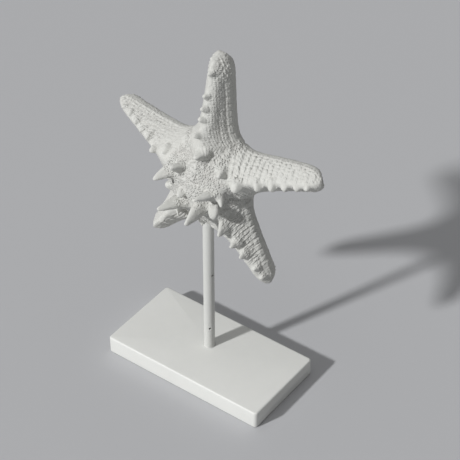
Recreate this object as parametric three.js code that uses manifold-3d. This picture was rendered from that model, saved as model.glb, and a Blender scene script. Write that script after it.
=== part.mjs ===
// A dried horned sea star on a post and a flat base, all in white. Millimetres, +Z up.
// The origin is the centre of the base's underside. The star faces -Y, over the base's long side.
import * as THREE from 'three';
import { mergeVertices } from 'three/addons/utils/BufferGeometryUtils.js';
import Module from 'manifold-3d';

const wasm = await Module();
wasm.setup();
const { degToRad: radians, lerp: mix, clamp } = THREE.MathUtils;

// Base: a flat block with softened edges and corners.
const BASE_LENGTH = 150;
const BASE_DEPTH = 78;
const BASE_THICKNESS = 16;
const BASE_EDGE = 1.5;
const BASE_CORNER = 3;
const BASE_EDGE_STEPS = 2;
const BASE_CORNER_STEPS = 3;

// Post: a round rod let into the base below and into the star above, with two pin holes.
// An azimuth of 0 faces -Y, and 90 faces +X.
const POST_RADIUS = 4.5;
const POST_PLACE = new THREE.Vector2(-2.5, 3.3);
const POST_IN_BASE = 9;
const POST_TOP = 164;
const POST_CHAMFER = 0.6;
const POST_SIDES = 32;
const PIN_HOLES = [{ height: 37.5, azimuth: 45 }, { height: 94, azimuth: 78 }];
const PIN_HOLE_RADIUS = 0.9;
const PIN_HOLE_DEPTH = 2.5;
const PIN_HOLE_SIDES = 12;
const FIT_GAP = 0.3;

// Star: its centre and its lean. Its own frame has u along +X, v up and n out of its front.
const STAR_CENTRE = new THREE.Vector3(-4.5, 16, 187.5);
const LEAN_BACK = radians(6);

// Arms, counted from the right one round by the top one. An angle is in degrees, from +X to +Z.
// Ridge heights are at the disc and at the tip, and lean and curl are towards the front.
const ARMS = [
  { angle: 21, length: 109, width: 0.93, tipWidth: 0.95, ridge: 23, tipRidge: 9, lean: 0, curl: 11 },
  { angle: 90.4, length: 105, width: 0.93, tipWidth: 0.93, ridge: 22, tipRidge: 9, lean: 0, curl: 2 },
  { angle: 166, length: 101, width: 0.95, tipWidth: 0.95, ridge: 25, tipRidge: 6, lean: -4, curl: 0 },
  { angle: 234, length: 103, width: 0.85, tipWidth: 0.65, ridge: 22, tipRidge: 8, lean: -8, curl: 0 },
  { angle: 306.5, length: 98, width: 0.85, tipWidth: 0.75, ridge: 21, tipRidge: 7, lean: 0, curl: 0 },
];
const HALF_WIDTH_AT_WEB = 16.8;
const HALF_WIDTH_AT_TIP = 9;
const ARM_START = 33;
const CURL_START = 45;
const TIP_ROUNDING = 14;

// Webs between the arms, each after the arm of its row, with its radius and its rise to the front.
const WEBS = [
  { radius: 40, rise: 0 },
  { radius: 38, rise: 0 },
  { radius: 44, rise: 4 },
  { radius: 47, rise: 6 },
  { radius: 36, rise: 0 },
];
const FLARE_SPREAD = 1.15;
const WEB_RISE_LENGTH = 14;

// Section of an arm and of the disc: a rounded ridge on a nearly flat back with a groove in it.
// In the disc, the ridges fall from its middle to the arms, and valleys fall to the webs.
const RIDGE_SHARPNESS = 1.4;
const FLANK_ROUNDING = 0.78;
const EDGE_ONSET = 10;
const DISC_HEIGHT = 33;
const RIDGE_FALL = 1.7;
const VALLEY_FALL = 1.9;
const VALLEY_ROUNDING = 0.75;
const BACK_DEPTH = 7;
const BACK_SQUARENESS = 6;
const BACK_VALLEY_FALL = 8;
const GROOVE_DEPTH = 3.5;
const GROOVE_HALF_WIDTH = 3;

// The grid that the body is made on: how many places across half an arm and stations along it.
const ACROSS = 5;
const STATIONS_IN_DISC = 7;
const STATIONS_ON_ARM = 15;
const DISC_PACKING = 1.4;
const STATION_PACKING = 0.6;
const MERGE_DISTANCE = 1e-4;

// Horns on each arm and the disc beside it: distance along the arm, aside, height, radius, and
// the leans outwards and aside in degrees. The first of each row is the arm's great horn.
const HORNS = [
  [
    [16, -7, 19, 6, -6, 12], [25, 8, 5, 4.5, 0, 30], [18, -8, 7.5, 4, 35, -60],
    [37, -1, 6, 4.8, 10, -30], [54, -2, 5, 3.8, 15, -30], [66.5, -2, 5, 3.5, 15, -30],
    [78, -2, 4.5, 3.2, 15, -30], [89, -2, 4, 3, 15, -30], [99, -1, 3.5, 2.8, 20, -20],
  ],
  [
    [12, 11, 12.5, 5.5, 22, 1], [27, -4, 10.5, 5, 10, -3], [41, 2, 6.5, 4, 8, 3],
    [54, 1, 4.5, 3.5, 15, 5], [63, 0, 4.5, 3.2, 15, 5], [73, 0, 4, 3, 15, 5],
    [91, -2, 4, 2.8, 15, 0], [100, -3, 3, 2.6, 20, 0],
  ],
  [
    [22, 1, 15.5, 5.5, 20, 12], [35, -6, 4, 3.5, 5, 0], [45, 0, 5, 3.5, 8, 0],
    [55, -3, 4.5, 3.2, 6, 0], [64, -2, 3, 2.8, 6, 0], [72, -3, 4, 3, 5, 0],
    [81, -3, 3.5, 2.8, 5, 0], [90, -2, 3, 2.6, 15, 0],
  ],
  [
    [22, 2, 22.5, 6, 0, -13], [10, -2, 6, 3.5, 0, 15], [38, -13, 7, 4.5, 0, -30],
    [42, 0, 4.5, 4, 10, 0], [50, 7, 7, 2.6, -10, -45], [62, 1, 3.5, 3, 10, 0],
    [73, 1, 3, 2.8, 10, 0], [84, 0, 3, 2.6, 10, 0],
  ],
  [
    [17, -3, 22, 7, 15, 4], [20, 8, 12, 4.8, 43, 10], [40, 0, 9, 4.8, 21, 6],
    [54, 3, 7, 3.8, 5, 0], [65, 4, 6, 3.5, 5, 0], [77, 6, 5.5, 3.2, 8, 0], [86, 5, 4, 2.8, 10, 0],
  ],
];
const HORN_SIDES = 7;
const HORN_ROOT = 4;
const HORN_PROFILE = [[0.84, 0.16], [0.5, 0.6], [0.22, 0.94], [0, 1]];

function matte(color, roughness) {
  return new THREE.MeshStandardMaterial({ color, roughness, metalness: 0 });
}

// A closed mesh as a solid: shared corners are merged and the triangles they collapse are dropped.
function solidOf(geometry) {
  const bare = geometry.clone();
  bare.deleteAttribute('normal');
  bare.deleteAttribute('uv');
  const merged = mergeVertices(bare, MERGE_DISTANCE);
  const corners = merged.index.array;
  const kept = [];
  for (let i = 0; i < corners.length; i += 3) {
    const [p, q, r] = corners.slice(i, i + 3);
    if (p !== q && q !== r && r !== p) kept.push(p, q, r);
  }
  return new wasm.Manifold(new wasm.Mesh({
    numProp: 3,
    vertProperties: new Float32Array(merged.attributes.position.array),
    triVerts: new Uint32Array(kept),
  }));
}

function geometryOf(solid) {
  const mesh = solid.getMesh();
  const geometry = new THREE.BufferGeometry();
  geometry.setAttribute('position', new THREE.BufferAttribute(mesh.vertProperties, 3));
  geometry.setIndex(new THREE.BufferAttribute(mesh.triVerts, 1));
  return geometry;
}

function named(name, geometry, material) {
  const mesh = new THREE.Mesh(geometry, material);
  mesh.name = name;
  return mesh;
}

// The web beside an arm: the one after it on its positive side, and the one before it otherwise.
function webBeside(k, aside) {
  return WEBS[aside > 0 ? k : (k + ARMS.length - 1) % ARMS.length];
}

// Half the angle between the two arms that a web joins.
function halfGap(web) {
  const first = WEBS.indexOf(web);
  const second = (first + 1) % ARMS.length;
  const turn = second === 0 ? 360 : 0;
  return radians(ARMS[second].angle + turn - ARMS[first].angle) / 2;
}

// Where a web ends, measured along the arm beside it.
function webEnd(web) {
  return web.radius * Math.cos(halfGap(web));
}

// Where an arm leaves the disc: at the web on its side, and midway between both webs on its axis.
function armStart(k, aside, share) {
  const middle = (webEnd(webBeside(k, 1)) + webEnd(webBeside(k, -1))) / 2;
  return mix(middle, webEnd(webBeside(k, aside)), share);
}

// How far along an arm a point is, from 0 at the disc to 1 at the tip.
function alongArm(arm, distance) {
  return clamp((distance - ARM_START) / (arm.length - ARM_START), 0, 1);
}

// Falls from 1 to 0 over the last stretch of an arm, as a quarter circle does.
function tipRounding(arm, distance) {
  const past = clamp((distance - arm.length) / TIP_ROUNDING + 1, 0, 1);
  return Math.sqrt(1 - past * past);
}

// Half the width of an arm on one side. In the disc it reaches to the line between two arms.
function halfWidth(arm, distance, web) {
  const gap = halfGap(web);
  if (distance <= webEnd(web)) return distance * Math.tan(gap);
  const atWeb = HALF_WIDTH_AT_WEB * arm.width;
  const atTip = HALF_WIDTH_AT_TIP * arm.tipWidth;
  const flare = web.radius * Math.sin(gap) - atWeb;
  const fading = Math.exp((webEnd(web) - distance) / (FLARE_SPREAD * flare * Math.tan(gap)));
  const width = mix(atWeb, atTip, alongArm(arm, distance)) + flare * fading;
  return width * tipRounding(arm, distance);
}

// Heights take inDisc, which runs from 0 in the middle to 1 where the arm starts and stays 1,
// and share, which runs from 0 on an arm's axis to 1 at its side.
function frontHeight(arm, distance, inDisc, share) {
  const crest = mix(arm.ridge, arm.tipRidge, alongArm(arm, distance)) * tipRounding(arm, distance);
  const ridge = mix(DISC_HEIGHT, crest, inDisc ** RIDGE_FALL);
  const valley = DISC_HEIGHT * (1 - inDisc ** VALLEY_FALL) ** VALLEY_ROUNDING;
  const flank = (1 - share ** RIDGE_SHARPNESS) ** FLANK_ROUNDING;
  const across = mix(Math.cos(share * Math.PI / 2) ** 2, flank, inDisc ** EDGE_ONSET);
  return mix(valley, ridge, across);
}

function backDepth(arm, distance, inDisc, share, aside) {
  const edge = Math.sqrt(1 - share ** BACK_SQUARENESS);
  const across = mix(Math.cos(share * Math.PI / 2) ** 2, edge, inDisc ** EDGE_ONSET);
  const valley = BACK_DEPTH * Math.sqrt(1 - inDisc ** BACK_VALLEY_FALL);
  const depth = mix(valley, BACK_DEPTH * tipRounding(arm, distance), across);
  const groove = GROOVE_DEPTH * Math.exp(-((aside / GROOVE_HALF_WIDTH) ** 2));
  return depth - groove * tipRounding(arm, distance);
}

// How far the star leaves its own plane: an arm's lean, the curl of its tip and a web's rise.
function lift(arm, distance, web, share) {
  const past = Math.max(0, distance - CURL_START) / (arm.length - CURL_START);
  const inside = Math.min(distance / webEnd(web), 1) ** 2;
  const beyond = Math.exp(-Math.max(0, distance - webEnd(web)) / WEB_RISE_LENGTH);
  const rise = web.rise * inside * beyond * share * share;
  return arm.lean * alongArm(arm, distance) + arm.curl * past * past + rise;
}

// A point of the star in its own frame, from arm coordinates: along the arm and aside from it.
function inStar(arm, distance, aside, n) {
  const a = radians(arm.angle);
  const u = distance * Math.cos(a) - aside * Math.sin(a);
  const v = distance * Math.sin(a) + aside * Math.cos(a);
  return new THREE.Vector3(u, v, n);
}

// The front surface above a place that is given in arm coordinates.
function onFront(k, distance, aside) {
  const arm = ARMS[k];
  const web = webBeside(k, aside);
  const share = clamp(Math.abs(aside) / halfWidth(arm, distance, web), 0, 1);
  const inDisc = Math.min(distance / armStart(k, aside, share), 1);
  const n = frontHeight(arm, distance, inDisc, share) + lift(arm, distance, web, share);
  return inStar(arm, distance, aside, n);
}

// The star's body: five arms that share their edges in the disc. Each is a grid of stations along
// the arm and places across it, on a front and a back surface that meet at the margin.
function starBody() {
  const positions = [];
  const triangles = [];
  const known = new Map();
  const stations = STATIONS_IN_DISC + STATIONS_ON_ARM;
  const place = (k, i, j, side) => {
    const arm = ARMS[k];
    const web = webBeside(k, j);
    const share = Math.abs(Math.sin((j / ACROSS) * (Math.PI / 2)));
    const inDisc = 1 - Math.max(0, 1 - i / STATIONS_IN_DISC) ** DISC_PACKING;
    const onArm = evenOut(Math.max(0, i - STATIONS_IN_DISC) / STATIONS_ON_ARM);
    const distance = mix(armStart(k, j, share) * inDisc, arm.length, onArm);
    const aside = Math.sign(j) * share * halfWidth(arm, distance, web);
    const atRim = (Math.abs(j) === ACROSS && i >= STATIONS_IN_DISC) || i === stations;
    const front = () => frontHeight(arm, distance, inDisc, share);
    const back = () => -backDepth(arm, distance, inDisc, share, aside);
    const n = atRim ? 0 : (side > 0 ? front() : back());
    return inStar(arm, distance, aside, n + lift(arm, distance, web, share));
  };
  // Places on the rim, in the middle and on the lines between the arms belong to both sides.
  const corner = (k, i, j, side) => {
    const web = WEBS.indexOf(webBeside(k, j));
    const atEdge = Math.abs(j) === ACROSS;
    let key = `arm ${k} ${i} ${j} ${side}`;
    if (i === 0) key = `middle ${side}`;
    else if (i === stations) key = `tip ${k}`;
    else if (atEdge && i > STATIONS_IN_DISC) key = `rim ${k} ${i} ${j}`;
    else if (atEdge && i === STATIONS_IN_DISC) key = `web ${web}`;
    else if (atEdge) key = `valley ${web} ${i} ${side}`;
    if (!known.has(key)) {
      known.set(key, positions.length / 3);
      positions.push(...place(k, i, j, side));
    }
    return known.get(key);
  };
  for (let k = 0; k < ARMS.length; k++) {
    for (const side of [1, -1]) {
      for (let i = 0; i < stations; i++) {
        for (let j = -ACROSS; j < ACROSS; j++) {
          const [p, q] = [corner(k, i, j, side), corner(k, i + 1, j, side)];
          const [r, s] = [corner(k, i + 1, j + 1, side), corner(k, i, j + 1, side)];
          const halves = (j < 0) === (side > 0) ? [p, q, r, p, r, s] : [p, q, s, q, r, s];
          triangles.push(...(side > 0 ? halves : halves.reverse()));
        }
      }
    }
  }
  const geometry = new THREE.BufferGeometry();
  geometry.setAttribute('position', new THREE.Float32BufferAttribute(positions, 3));
  geometry.setIndex(triangles);
  return geometry;
}

// Packs the stations closer at the start and the tip of an arm, where its outline turns.
function evenOut(t) {
  return t - STATION_PACKING * Math.sin(2 * Math.PI * t) / (2 * Math.PI);
}

// A horn stands on the front: a cone with a spreading foot and a rounded point. It leans away
// from the star's normal, outwards along its arm and aside from it, both in degrees.
function horn(k, [distance, aside, height, radius, outwards, sideways]) {
  const root = Math.min(height, HORN_ROOT);
  const ring = ([share, rise]) => new THREE.Vector2(radius * share, height * rise);
  const foot = [new THREE.Vector2(0, -root), new THREE.Vector2(radius, -root)];
  const cone = new THREE.LatheGeometry([...foot, ...HORN_PROFILE.map(ring)], HORN_SIDES);
  const lean = new THREE.Vector3(Math.tan(radians(outwards)), Math.tan(radians(sideways)), 1);
  lean.applyAxisAngle(new THREE.Vector3(0, 0, 1), radians(ARMS[k].angle)).normalize();
  const turn = new THREE.Quaternion().setFromUnitVectors(new THREE.Vector3(0, 1, 0), lean);
  const place = onFront(k, distance, aside);
  cone.applyMatrix4(new THREE.Matrix4().compose(place, turn, new THREE.Vector3(1, 1, 1)));
  return cone;
}

// The star's own frame in the world: it leans back from upright.
function starFrame() {
  const u = new THREE.Vector3(1, 0, 0);
  const v = new THREE.Vector3(0, Math.sin(LEAN_BACK), Math.cos(LEAN_BACK));
  const n = new THREE.Vector3(0, -Math.cos(LEAN_BACK), Math.sin(LEAN_BACK));
  return new THREE.Matrix4().makeBasis(u, v, n).setPosition(STAR_CENTRE);
}

function baseBlock() {
  const x = BASE_LENGTH / 2 - BASE_EDGE - BASE_CORNER;
  const y = BASE_DEPTH / 2 - BASE_EDGE - BASE_CORNER;
  const outline = new THREE.Shape();
  [[x, y], [-x, y], [-x, -y], [x, -y]].forEach(([cx, cy], turn) => {
    const from = turn * Math.PI / 2;
    outline.absarc(cx, cy, BASE_CORNER, from, from + Math.PI / 2);
  });
  const block = new THREE.ExtrudeGeometry(outline, {
    depth: BASE_THICKNESS - 2 * BASE_EDGE,
    bevelThickness: BASE_EDGE,
    bevelSize: BASE_EDGE,
    bevelSegments: BASE_EDGE_STEPS,
    curveSegments: BASE_CORNER_STEPS,
  });
  return block.translate(0, 0, BASE_EDGE);
}

// An upright round rod in the post's place, with a chamfer at both ends.
function rod(radius, from, to, chamfer) {
  const half = (to - from) / 2;
  const profile = [[0, -half], [radius - chamfer, -half], [radius, chamfer - half]];
  const mirrored = profile.map(([x, y]) => [x, -y]).reverse();
  const points = [...profile, ...mirrored].map(([x, y]) => new THREE.Vector2(x, y));
  const round = new THREE.LatheGeometry(points, POST_SIDES);
  return round.rotateX(Math.PI / 2).translate(POST_PLACE.x, POST_PLACE.y, from + half);
}

// The drill that makes a pin hole in the side of the post.
function pinHole({ height, azimuth }) {
  const length = PIN_HOLE_DEPTH * 2;
  const drill = new THREE.CylinderGeometry(PIN_HOLE_RADIUS, PIN_HOLE_RADIUS, length, PIN_HOLE_SIDES);
  drill.translate(0, -POST_RADIUS, 0).rotateZ(radians(azimuth));
  return drill.translate(POST_PLACE.x, POST_PLACE.y, height);
}

function starSolid() {
  const frame = starFrame();
  let solid = solidOf(starBody().applyMatrix4(frame));
  HORNS.forEach((row, k) => {
    for (const size of row) solid = solid.add(solidOf(horn(k, size).applyMatrix4(frame)));
  });
  const socket = rod(POST_RADIUS + FIT_GAP, BASE_THICKNESS, POST_TOP + FIT_GAP, POST_CHAMFER);
  return solid.subtract(solidOf(socket));
}

function baseSolid() {
  const floor = BASE_THICKNESS - POST_IN_BASE - FIT_GAP;
  const socket = rod(POST_RADIUS + FIT_GAP, floor, POST_TOP, POST_CHAMFER);
  return solidOf(baseBlock()).subtract(solidOf(socket));
}

function postSolid() {
  const post = solidOf(rod(POST_RADIUS, BASE_THICKNESS - POST_IN_BASE, POST_TOP, POST_CHAMFER));
  return PIN_HOLES.reduce((solid, hole) => solid.subtract(solidOf(pinHole(hole))), post);
}

const group = new THREE.Group();
group.add(named('sea_star', geometryOf(starSolid()), matte(0xe2e1dc, 0.85)));
group.add(named('post', geometryOf(postSolid()), matte(0xdedfdc, 0.5)));
group.add(named('base', geometryOf(baseSolid()), matte(0xe6e5e1, 0.6)));

export default group;
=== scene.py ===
"""A dried horned sea star on a thin post and a flat base, all in matt white.

The star is modelled at its full relief here: the body and the horns are fused into one skin, and beads,
plates, pits and grooves are raised on it along the arms. Shapes are worked out in millimetres, in the
star's own frame, and are turned into metres when they are placed.
"""

from __future__ import annotations

import logging
import math
from collections.abc import Iterator, Sequence
from dataclasses import dataclass, field, fields
from enum import Enum
from itertools import product
from typing import ClassVar

import bmesh
import bpy
import numpy as np
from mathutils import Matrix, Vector

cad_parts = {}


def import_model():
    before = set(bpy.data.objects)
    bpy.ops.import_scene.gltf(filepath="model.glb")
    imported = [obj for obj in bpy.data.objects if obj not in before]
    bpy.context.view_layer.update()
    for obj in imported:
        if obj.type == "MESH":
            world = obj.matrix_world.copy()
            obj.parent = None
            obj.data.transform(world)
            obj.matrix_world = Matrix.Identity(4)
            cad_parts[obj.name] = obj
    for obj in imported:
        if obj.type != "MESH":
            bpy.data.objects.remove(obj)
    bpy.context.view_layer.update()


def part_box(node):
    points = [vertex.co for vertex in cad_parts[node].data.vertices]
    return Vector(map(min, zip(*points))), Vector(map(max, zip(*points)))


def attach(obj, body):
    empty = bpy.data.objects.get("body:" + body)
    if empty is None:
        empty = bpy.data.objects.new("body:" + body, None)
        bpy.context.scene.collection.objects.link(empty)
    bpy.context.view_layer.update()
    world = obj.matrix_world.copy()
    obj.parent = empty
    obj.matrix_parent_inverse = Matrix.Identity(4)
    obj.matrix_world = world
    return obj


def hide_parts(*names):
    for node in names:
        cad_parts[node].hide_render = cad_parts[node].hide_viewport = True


LOG = logging.getLogger("sea_star_on_a_stand")
MM = 0.001
Array = np.ndarray
Range = tuple[float, float]
Triple = tuple[float, float, float]
Piece = bpy.types.Object
Socket = bpy.types.NodeSocket


class Side(Enum):
    """The two faces of the star: the front carries the horns, and the back has the mouth."""

    FRONT = 1
    BACK = -1


class HornForm(Enum):
    """The kinds of horn, each as rings of (share of the height, share of the radius) from the root up."""

    CONE = (
        (-1, 1.25), (-0.4, 1.2), (0.02, 1.12), (0.1, 1), (0.2, 0.88), (0.32, 0.77), (0.45, 0.67),
        (0.58, 0.57), (0.71, 0.47), (0.83, 0.37), (0.92, 0.27), (0.97, 0.18), (0.99, 0.09),
    )
    EGG = (
        (-1, 1.2), (-0.5, 1.15), (0, 1.05), (0.2, 1), (0.4, 0.97), (0.58, 0.9), (0.73, 0.8), (0.85, 0.65),
        (0.93, 0.47), (0.98, 0.24),
    )
    KNOB = (
        (-1, 1.3), (-0.4, 1.22), (0, 1.12), (0.2, 1.02), (0.4, 0.9), (0.6, 0.76), (0.76, 0.6),
        (0.88, 0.43), (0.955, 0.25), (0.985, 0.12),
    )


@dataclass(frozen=True)
class Flank:
    """How the skin of one flank of an arm is raised, in millimetres.

    Attributes:
        bar_pitch: The way from one row of beads across the flank to the next.
        bead_pitch: The way between beads in a row.
        bar: How high the rows stand.
        bead: How high the beads stand.
        pit: How deep the pits between the rows are.
        slant: How much the rows lean along the arm.
        margin: The width of the row of plates at the rim.
        plate: How high the plates stand.
        plate_pitch: The way from one plate to the next.
        grooves: How far from the rim grooves run along the arm.
        groove: How deep they are.
        tip_bead: How high the loose beads at the tip stand.
        at_disc: The share of the pattern that is left beside the disc.
        shoulder: How far the skin swells beside the crest.
    """

    bar_pitch: float = 4.8
    bead_pitch: float = 2.8
    bar: float = 0.12
    bead: float = 0.38
    pit: float = 0.22
    slant: float = 0.1
    margin: float = 2.5
    plate: float = 0.12
    plate_pitch: float = 4.6
    grooves: tuple[float, ...] = ()
    groove: float = 0.28
    tip_bead: float = 0.4
    at_disc: float = 1
    shoulder: float = 0


@dataclass(frozen=True)
class Arm:
    """One arm, in millimetres and degrees, and the skin of its two flanks.

    Attributes:
        angle: Its direction, from the star's right round to its top.
        length: From the centre to the tip.
        width: Its width, as a share of the usual.
        tip_widths: The widths of its left and right halves at the tip, as shares of the usual.
        ridge: The height of its crest beside the disc.
        tip_ridge: The height of its crest at the tip.
        lean: How far its tip leaves the star's plane in a straight line.
        curl: How far its tip bends out of that plane.
        dip: How far its crest sags beside the disc.
        left: The skin of its left flank, as seen from the centre.
        right: The skin of its right flank.
    """

    angle: float
    length: float
    width: float
    tip_widths: Range
    ridge: float
    tip_ridge: float
    lean: float = 0
    curl: float = 0
    dip: float = 0
    left: Flank = Flank()
    right: Flank = Flank()

    def flank(self, side: int) -> Flank:
        """Gives the skin of the flank on one side: 1 for the left, as seen from the centre, or -1."""
        return self.left if side > 0 else self.right


@dataclass(frozen=True)
class Web:
    """The edge between two arms: its distance from the centre and its rise towards the front."""

    radius: float
    rise: float = 0


@dataclass(frozen=True)
class Horn:
    """One horn: its foot in arm coordinates, its size, and its leans outwards and aside in degrees."""

    distance: float
    aside: float
    height: float
    radius: float
    outwards: float
    sideways: float
    form: HornForm = HornForm.KNOB


def smooth_step(value: Array, low: float, high: float) -> Array:
    """Rises smoothly from 0 at low to 1 at high.

    Args:
        value: What is tested.
        low: Where the rise starts.
        high: Where it ends. It may be below low, for a fall.

    Returns:
        The share of the rise at each value.
    """
    share = np.clip((value - low) / (high - low), 0, 1)
    return share * share * (3 - 2 * share)


def scatter(i: Array, j: Array, seed: float) -> Array:
    """Gives repeatable numbers from 0 to 1, one for each pair of whole numbers."""
    value = np.sin(i * 127.1 + j * 311.7 + seed * 74.7) * 43758.5453
    return value - np.floor(value)


def lumps(places: Array, size: float, seed: float) -> Array:
    """Makes smooth noise in space.

    Args:
        places: Points, one a row.
        size: The width of a lump, in the points' units.
        seed: Picks one noise of many.

    Returns:
        A value from -1 to 1 for each point.
    """
    cell = np.floor(places / size)
    inside = places / size - cell
    inside = inside * inside * (3 - 2 * inside)
    total = np.zeros(len(places))
    for corner in product((0, 1), repeat=3):
        weight = np.prod(np.where(corner, inside, 1 - inside), axis=1)
        at = cell + corner
        total += weight * scatter(at[:, 0] + 57 * at[:, 2], at[:, 1], seed)
    return 2 * total - 1


@dataclass(frozen=True)
class BeadRows:
    """Beads on a lattice of rows, each a small dome that is a little off its place and size."""

    row_pitch: float
    bead_pitch: float
    fill: float = 0.95
    jitter: float = 0.4
    variety: float = 0.35
    seed: float = 0

    def height(self, x: Array, y: Array) -> Array:
        """Gives the beads' height, from 0 to 1.

        Args:
            x: The way across the rows, in millimetres.
            y: The way along the rows.

        Returns:
            The height at each place.
        """
        best = np.zeros(len(x))
        row = np.floor(x / self.row_pitch)
        for step in (-1, 0, 1):
            i = row + step
            shift = 0.5 * np.mod(i, 2)
            column = np.floor(y / self.bead_pitch - shift)
            for j in (column - 1, column, column + 1):
                off = [self.jitter * (scatter(i, j, self.seed + n) - 0.5) for n in (1, 2)]
                size = 1 - self.variety * scatter(i, j, self.seed + 3)
                over = (x / self.row_pitch - i - 0.5 - off[0]) / (0.5 * self.fill * size)
                along = (y / self.bead_pitch - j - 0.5 - shift - off[1]) / (0.5 * self.fill * size)
                dome = np.clip(1 - over * over - along * along, 0, 1) ** 0.8
                best = np.maximum(best, dome * size)
        return best


@dataclass
class Places:
    """Points of the star's skin in arm coordinates, in millimetres."""

    own: Array
    arm: Array
    along: Array
    aside: Array
    half: Array
    height: Array
    in_disc: Array
    in_web: Array

    @property
    def from_rim(self) -> Array:
        """The way from the rim, straight across the flank."""
        return np.hypot(self.half - np.abs(self.aside), self.height)

    def only(self, wanted: Array) -> Places:
        """Gives some of the points.

        Args:
            wanted: True for each point to keep.

        Returns:
            Those points.
        """
        return Places(*(getattr(self, one.name)[wanted] for one in fields(self)))


@dataclass(frozen=True)
class Hollow:
    """A dent in the front between two horns: its arm, its place on it, its depth and its radius."""

    arm: int
    along: float
    aside: float
    depth: float
    radius: float
    least_height: float = 1.5

    def sinks(self, places: Places) -> Array:
        """Gives how far the dent lowers each point. It never reaches down to the rim."""
        off = np.hypot(places.along - self.along, places.aside - self.aside) / self.radius
        near = smooth_step(off, 1.0, 0.2) * (places.arm == self.arm)
        return np.minimum(self.depth * near, np.maximum(places.height - self.least_height, 0))


FINE_ROWS = Flank(bar=0.9, bead=0.8, pit=0.3, slant=0.03)
COARSE_ROWS = Flank(3.8, 2.4, bar=0.35, bead=0.7, pit=0.3, slant=0.2, margin=5, plate=0.4)
SMOOTH_FLANK = Flank(3.6, 2.4, bar=0.02, bead=0.12, pit=0.25, plate=0.1, tip_bead=0.7)
BANDS = Flank(
    3.0, 2.3, bar=0.15, bead=0.55, margin=7, plate=0.45, plate_pitch=5.9, grooves=(7, 13), tip_bead=0.9,
    shoulder=1.9,
)
NETWORK = Flank(
    3.6, 2.8, bar=0.3, bead=0.8, pit=0.6, slant=0.3, plate=0.5, grooves=(5.5, 12), tip_bead=0.8, at_disc=0.2
)
LINES = Flank(3.6, 3.2, bar=0.05, bead=0.2, margin=3, plate=0.1, grooves=(3, 6, 9, 12, 15), groove=0.85)
BARS = Flank(3.3, 3.0, bar=0.6, bead=0.7, pit=0.3, slant=0.25, margin=6.5, plate=0.95, plate_pitch=4.9)


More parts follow.
